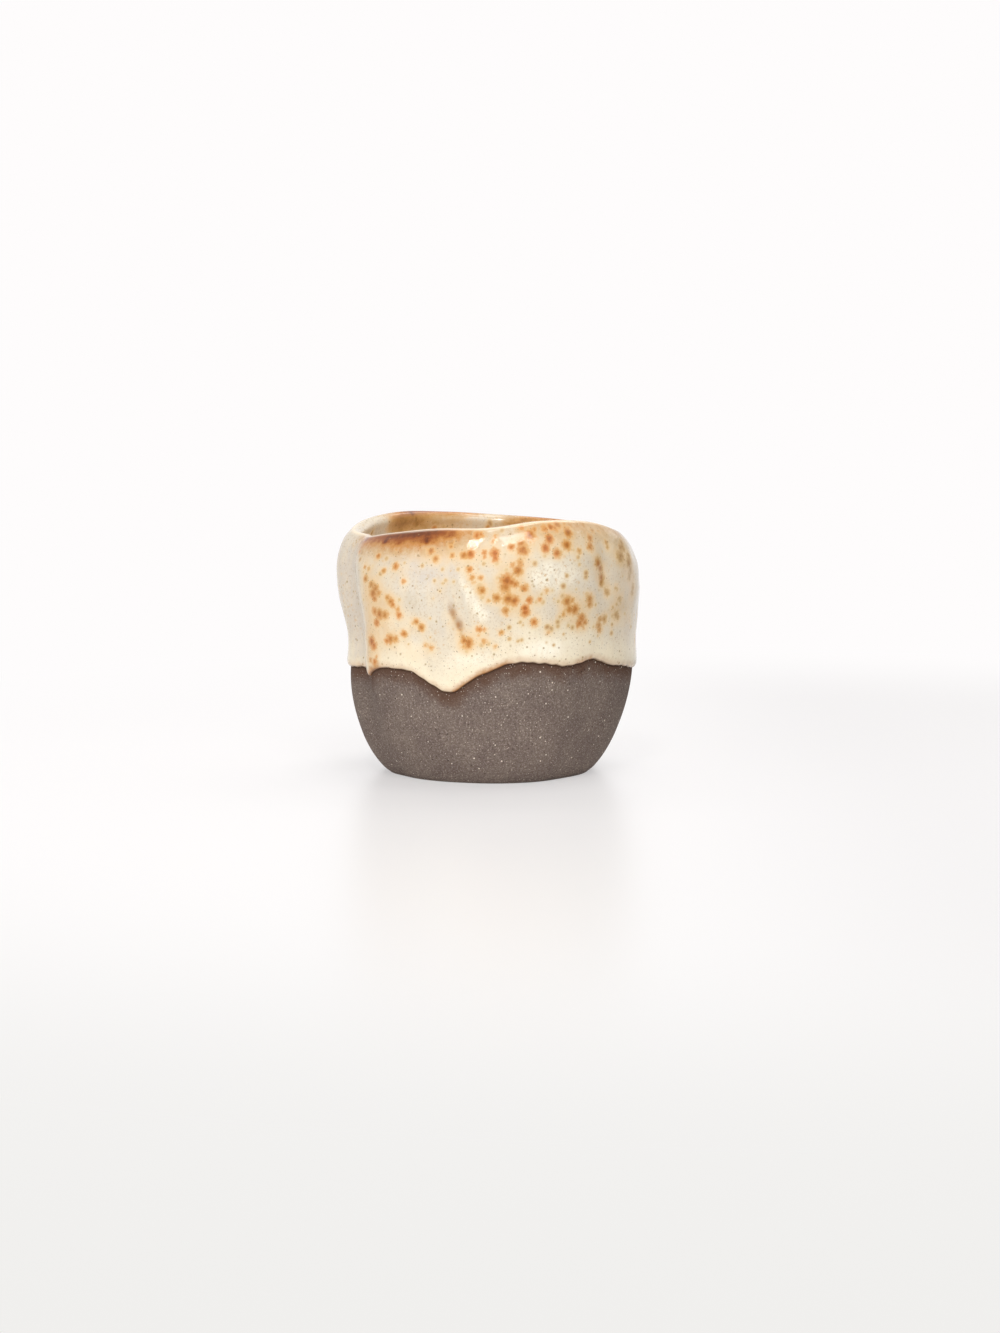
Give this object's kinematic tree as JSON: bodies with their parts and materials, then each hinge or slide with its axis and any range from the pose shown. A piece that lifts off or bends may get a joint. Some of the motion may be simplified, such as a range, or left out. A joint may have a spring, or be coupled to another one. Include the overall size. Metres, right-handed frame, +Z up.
{
  "type": "espresso cup",
  "caption": "Small pinched stoneware cup without a handle: wavy dipped glaze over a bare clay base, glazed inside, for a single espresso.",
  "frame": {"origin": "on the surface the cup stands on, under the middle of its outline seen from above", "axes": "+Z up, -Y towards the front with the lowest drip, +X towards the low right side of the rim"},
  "size_m": [0.062, 0.0602, 0.0526],
  "materials": {
    "stoneware": "unglazed grey-brown stoneware, matt, with fine pale grog specks",
    "dipped_glaze": "glossy cream glaze with rust-brown spots, pinholes and a rust band under the rim",
    "liner_glaze": "glossy cream glaze, ochre-brown towards the rim, with rust-brown spots"
  },
  "bodies": {
    "root": {"clay_body": "stoneware", "outer_glaze": "dipped_glaze", "liner_glaze": "liner_glaze"}
  },
  "joints": []
}
